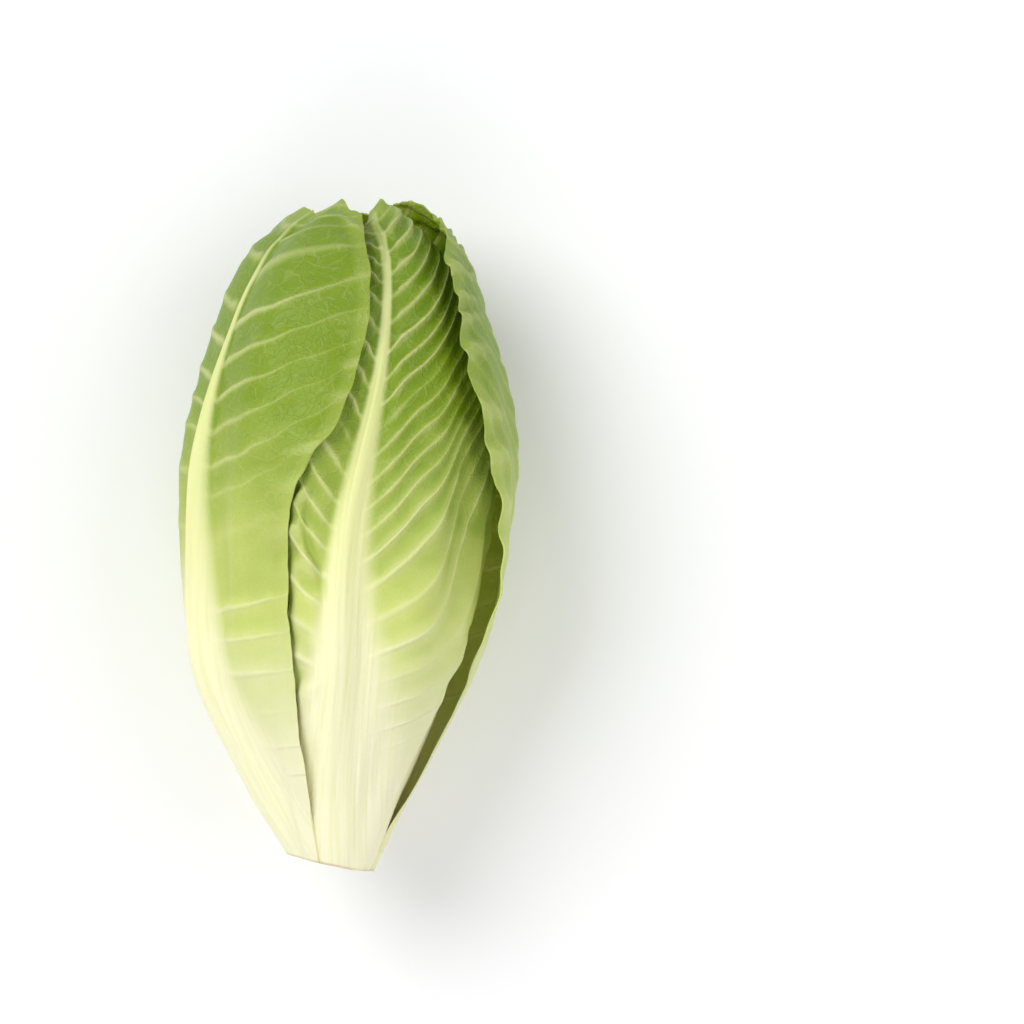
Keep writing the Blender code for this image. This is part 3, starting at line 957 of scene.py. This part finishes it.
def leaf_finish(kind, settings):
    """Leaf skin: pale and fleshy by the stem, green and netted with veins above."""
    paler = PALER[kind]
    finish = Finish(f"{kind}_leaf_skin")
    base, low = tuple(settings.base_colour), tuple(settings.low_colour)
    rib_tone = tuple(settings.rib_colour)
    green = between(tuple(settings.blade_colour), low, paler)
    tip = between(tuple(settings.tip_colour), PALE_TIP, paler)

    rise, flow = finish.attribute("rise"), finish.attribute("flow")
    reach, rib_share = finish.attribute("reach"), finish.attribute("rib_share")
    margin, crest = finish.attribute("margin"), finish.attribute("crest")
    strength = finish.attribute("strength")
    leaf_map = finish.node("ShaderNodeUVMap", {"uv_map": "LeafMap"})
    body = finish.node("ShaderNodeTexCoord", None, output="Object")

    coarse_net, fine_net = vein_nets(finish, leaf_map)
    mottle = finish.noise(body, 42.0, 3.0, 0.55)
    speckle = finish.noise(leaf_map, 16.0, 2.0, 0.6)

    # How far a place is from the nearest side vein: 0 on it and 0.5 midway
    phase = finish.node("ShaderNodeMath", {"operation": "PINGPONG"}, flow, 0.5)
    vein_width = 0.19 - finish.step(reach, 0.0, 3.0) * 0.12
    vein_fade = (1 - finish.step(reach, 0.8, 3.8) * 0.65) * strength * 1.25
    side_vein = (1 - finish.step(phase / vein_width, 0.05, 1.0)) * vein_fade
    vein_halo = (1 - finish.step(phase, 0.0, 0.30)) * vein_fade
    on_rib = 1 - finish.step(rib_share * (0.50 + rise * 1.10), 0.55, 1.35)
    on_rib = on_rib * (1 - finish.step(rise, 0.78, 0.97) * 0.8)
    off_base, netted = finish.step(rise, 0.10, 0.40), finish.step(rise, 0.36, 0.62)

    climb = rise + (mottle - 0.5) * 0.16 - vein_halo * 0.035
    blade = blade_ramp(finish, climb, base, low, green, tip)
    # A deeper green: the leaf's own tone where speckled and between side veins, and painted shade
    # in hollows and creases
    deep_green_and_shade = finish.mix(1.0, blade, DEEP_GREEN_AND_SHADE, "MULTIPLY")
    blade = finish.mix(finish.step(speckle, 0.35, 0.75) * off_base * 0.30, blade, deep_green_and_shade)
    # A paler blade: the painted highlight on crests
    painted_highlight = finish.mix(0.30, blade, rib_tone)
    blade = finish.mix(finish.step(phase, 0.22, 0.50) * off_base * 0.15, blade, deep_green_and_shade)
    # Painted shade darkens the hollows of the relief, and a painted highlight lightens its crests
    blade = finish.mix((1 - finish.step(crest, 0.05, 0.50)) * off_base * 0.75, blade, deep_green_and_shade)
    blade = finish.mix(finish.step(crest, 0.55, 0.95) * off_base * 0.60, blade, painted_highlight)
    blade = finish.mix(coarse_net * netted * 0.07, blade, rib_tone)
    # The fine net's sunken lines are darkened with painted shade, as creases
    blade = finish.mix(fine_net * netted * 0.11, blade, deep_green_and_shade)
    rib_skin = rib_ramp(finish, rise, base, low, green, rib_tone)
    strand = finish.noise(finish.stretched(leaf_map, (9.0, 0.35, 1.0)), 1.0, 2.0, 0.5)
    rib_skin = finish.mix(finish.step(strand, 0.42, 0.70) * 0.22, rib_skin, low)
    skin = finish.mix(side_vein * off_base * 0.42, blade, rib_skin)
    skin = finish.mix(on_rib, skin, rib_skin)
    by_margin = finish.step(margin, 0.90, 1.0) * off_base * 0.25
    skin = finish.mix(by_margin, skin, between(low, green, 0.3))
    cut = (1 - finish.step(rise, 0.0003, 0.0050)) * finish.step(mottle, 0.25, 0.75)
    skin = finish.mix(cut * 0.55, skin, tuple(settings.cut_colour))

    relief = side_vein * (1 - on_rib) * 0.22 + coarse_net * (1 - on_rib) * netted * 0.08
    relief = relief - fine_net * (1 - on_rib) * netted * 0.05 + speckle * 0.05
    relief = relief + strand * on_rib * 0.10
    shader = finish.shader
    finish.fill(shader.inputs["Base Color"], skin)
    finish.fill(shader.inputs["Roughness"], 0.36 + speckle * 0.16 + coarse_net * 0.05)
    finish.bump(relief, 0.9, 0.0012)
    shader.inputs["Subsurface Weight"].default_value = 0.22
    shader.inputs["Subsurface Radius"].default_value = (0.9, 1.0, 0.35)
    shader.inputs["Subsurface Scale"].default_value = 0.003
    shader.inputs["Specular IOR Level"].default_value = 0.33
    return finish.material


def stem_finish(settings):
    """Stem flesh: cream and fibrous, its cut turned brown at the rim."""
    finish = Finish("stem_flesh")
    body = finish.node("ShaderNodeTexCoord", None, output="Object")
    radial = finish.attribute("radial")
    grain = finish.noise(finish.stretched(body, (1.0, 0.25, 1.0)), 900.0, 3.0, 0.6)
    patch = finish.noise(body, 180.0, 3.0, 0.6)
    flesh = finish.mix(finish.step(grain, 0.35, 0.7) * 0.4, STEM_CREAM, STEM_STRAW)
    ring = finish.step(radial, 0.60, 0.72) * (1 - finish.step(radial, 0.74, 0.86))
    flesh = finish.mix(ring * 0.45, flesh, STEM_RING)
    rim = finish.step(radial + (patch - 0.5) * 0.25, 0.86, 1.0)
    browned = tuple(settings.cut_colour)
    flesh = finish.mix(rim * 0.75, flesh, browned)
    flesh = finish.mix(finish.step(patch, 0.60, 0.78) * 0.22, flesh, browned)
    finish.fill(finish.shader.inputs["Base Color"], flesh)
    finish.fill(finish.shader.inputs["Roughness"], 0.38 + grain * 0.2)
    finish.bump(grain * 0.6 + patch * 0.5, 0.8, 0.0008)
    finish.shader.inputs["Subsurface Weight"].default_value = 0.2
    finish.shader.inputs["Subsurface Scale"].default_value = 0.003
    return finish.material


def floor_finish(settings):
    """Matt, pale paper."""
    finish = Finish("studio_paper")
    body = finish.node("ShaderNodeTexCoord", None, output="Object")
    tone = finish.noise(body, 3.0, 2.0, 0.5)
    pale = tuple(settings.floor_colour)
    shade = between(pale, (0.88, 0.88, 0.88), 0.4)
    finish.fill(finish.shader.inputs["Base Color"], finish.mix(tone * 0.3, pale, shade))
    finish.shader.inputs["Roughness"].default_value = 0.8
    return finish.material


# ---- operators ----

LEAF_STATE = {}


def grown():
    """The leaves and the height of the head's axis, worked out once."""
    if not LEAF_STATE:
        leaves = grow_leaves()
        LEAF_STATE["leaves"] = leaves
        LEAF_STATE["axis_height"] = lowest(leaves) - PRESSED_FLAT
    return LEAF_STATE["leaves"], LEAF_STATE["axis_height"]


def dress_leaves(context, kind):
    """Makes every leaf of one kind."""
    leaves, axis_height = grown()
    settings = context.scene.lettuce_settings
    material = leaf_finish(kind, settings)
    for number, k in enumerate(KINDS[kind], start=1):
        name, slot = f"{kind}_leaf_{number}", f"{kind}_leaf_green"
        make_leaf(leaves, k, name, material, settings, axis_height)


class LETTUCE_OT_outer_leaves(bpy.types.Operator):
    """Make the six outer leaves"""

    bl_idname = "lettuce.outer_leaves"
    bl_label = "Outer leaves"

    def execute(self, context):
        dress_leaves(context, "outer")
        return {"FINISHED"}


class LETTUCE_OT_middle_leaves(bpy.types.Operator):
    """Make the six leaves inside the outer ones"""

    bl_idname = "lettuce.middle_leaves"
    bl_label = "Middle leaves"

    def execute(self, context):
        dress_leaves(context, "middle")
        return {"FINISHED"}


class LETTUCE_OT_heart_leaves(bpy.types.Operator):
    """Make the six pale leaves of the heart"""

    bl_idname = "lettuce.heart_leaves"
    bl_label = "Heart leaves"

    def execute(self, context):
        dress_leaves(context, "heart")
        return {"FINISHED"}


class LETTUCE_OT_stem(bpy.types.Operator):
    """Make the cut stem"""

    bl_idname = "lettuce.stem"
    bl_label = "Stem"

    def execute(self, context):
        _, axis_height = grown()
        foot, neck, tip = OUTLINE_RADIUS[0] - STEM_INSET, 0.0010, MIDDLE_HEIGHT[0]
        shoulder = tip - 0.0016 * tip / OUTLINE_RADIUS[0]
        cut_face = [(foot * share, 0.0) for share in np.linspace(0, 0.94, 24)]
        rim = [(foot * 0.97, 0.00010), (foot - 0.00015, 0.00035), (foot - 0.0002, 0.0009)]
        cone = [(foot + (neck - foot) * t, shoulder * t) for t in np.linspace(0.08, 1, 14)]
        bud = [(neck, tip + 0.002), (0.0018, tip + 0.005), (neck, 0.035), (0.0, 0.036)]
        bm = bmesh.new()
        ring = [bm.verts.new((radius, height, 0)) for radius, height in cut_face + rim + cone + bud]
        for low, high in zip(ring, ring[1:]):
            bm.edges.new((low, high))
        bmesh.ops.spin(
            bm,
            geom=bm.verts[:] + bm.edges[:],
            axis=(0, 1, 0),
            angle=2 * math.pi,
            steps=STEM_SIDES,
            use_merge=True,
        )
        bmesh.ops.remove_doubles(bm, verts=bm.verts[:], dist=0.00001)
        bmesh.ops.recalc_face_normals(bm, faces=bm.faces[:])
        mesh = bpy.data.meshes.new("stem")
        bm.to_mesh(mesh)
        bm.free()
        flat = np.empty(len(mesh.vertices) * 3, np.float32)
        mesh.vertices.foreach_get("co", flat)
        x, y, z = flat.reshape(-1, 3).astype(float).T
        radial = np.hypot(x, z) / foot
        on_cut = y < 0.0003
        # The knife leaves the face a little uneven, and it shrinks inwards as it dries
        dish = 0.00035 * (1 - radial**2) + 0.00012 * cloud(x, z, 0.0016, CUT_DISH)
        y = np.where(on_cut, y + np.maximum(0, dish) * (radial < 0.95), y)
        points = settle(x, y, z + axis_height)
        mesh.vertices.foreach_set("co", points.astype(np.float32).ravel())
        mesh_values(mesh, "radial", np.where(on_cut, radial, np.clip(1.04 - y / 0.004, 0, 1)))
        mesh.shade_smooth()
        mesh.set_sharp_from_angle(angle=SHARP_STEM)
        mesh.update()
        add_piece("stem", mesh, stem_finish(context.scene.lettuce_settings), "stem")
        return {"FINISHED"}


class LETTUCE_OT_stage(bpy.types.Operator):
    """Make the floor, the lights and the camera"""

    bl_idname = "lettuce.stage"
    bl_label = "Stage"

    def execute(self, context):
        scene = context.scene
        bm = bmesh.new()
        bmesh.ops.create_grid(bm, x_segments=2, y_segments=2, size=FLOOR_HALF_WIDTH)
        mesh = bpy.data.meshes.new("floor")
        bm.to_mesh(mesh)
        bm.free()
        mesh.materials.append(floor_finish(scene.lettuce_settings))
        floor = bpy.data.objects.new("floor", mesh)
        scene.collection.objects.link(floor)

        for name, (where, size, power) in LIGHTS.items():
            self.add_light(scene, name, where, size, power)
        world = bpy.data.worlds.new("studio_air")
        world.use_nodes = True
        air = world.node_tree.nodes["Background"].inputs
        air["Color"].default_value, air["Strength"].default_value = AIR_COLOUR, AIR_STRENGTH
        scene.world = world
        scene.view_settings.view_transform = "Standard"

        _, axis_height = grown()
        data = bpy.data.cameras.new("camera")
        data.sensor_width = SENSOR_WIDTH
        data.lens = LENS_HEIGHT * SENSOR_WIDTH / PICTURE_WIDTH
        data.clip_start, data.clip_end = 0.01, 20.0
        camera = bpy.data.objects.new("camera", data)
        camera.location = (PICTURE_X, PICTURE_Y, axis_height + LENS_HEIGHT)
        scene.collection.objects.link(camera)
        scene.camera = camera
        return {"FINISHED"}

    def add_light(self, scene, name, where, size, power):
        """A soft box aimed at the head."""
        data = bpy.data.lights.new(name, "AREA")
        data.shape, data.size, data.energy = "DISK", size, power
        light = bpy.data.objects.new(name, data)
        light.location = where
        scene.collection.objects.link(light)
        light.rotation_euler = light.location.to_track_quat("Z", "Y").to_euler()


class LETTUCE_PT_head(bpy.types.Panel):
    """Lists the pieces and the settings"""

    bl_label = "Romaine lettuce head"
    bl_idname = "LETTUCE_PT_head"
    bl_space_type = "VIEW_3D"
    bl_region_type = "UI"
    bl_category = "Lettuce"

    def draw(self, context):
        settings = context.scene.lettuce_settings
        for name in LETTUCE_PG_settings.__annotations__:
            self.layout.prop(settings, name)
        for operator in OPERATORS:
            self.layout.operator(operator.bl_idname)


OPERATORS = (
    LETTUCE_OT_stem,
    LETTUCE_OT_heart_leaves,
    LETTUCE_OT_middle_leaves,
    LETTUCE_OT_outer_leaves,
    LETTUCE_OT_stage,
)
CLASSES = (LETTUCE_PG_settings, *OPERATORS, LETTUCE_PT_head)


def register():
    for item in CLASSES:
        bpy.utils.register_class(item)
    bpy.types.Scene.lettuce_settings = PointerProperty(type=LETTUCE_PG_settings)


def unregister():
    del bpy.types.Scene.lettuce_settings
    for item in reversed(CLASSES):
        bpy.utils.unregister_class(item)


def main():
    register()
    bpy.ops.lettuce.stem()
    bpy.ops.lettuce.heart_leaves()
    bpy.ops.lettuce.middle_leaves()
    bpy.ops.lettuce.outer_leaves()
    bpy.ops.lettuce.stage()


if __name__ == "__main__":
    main()
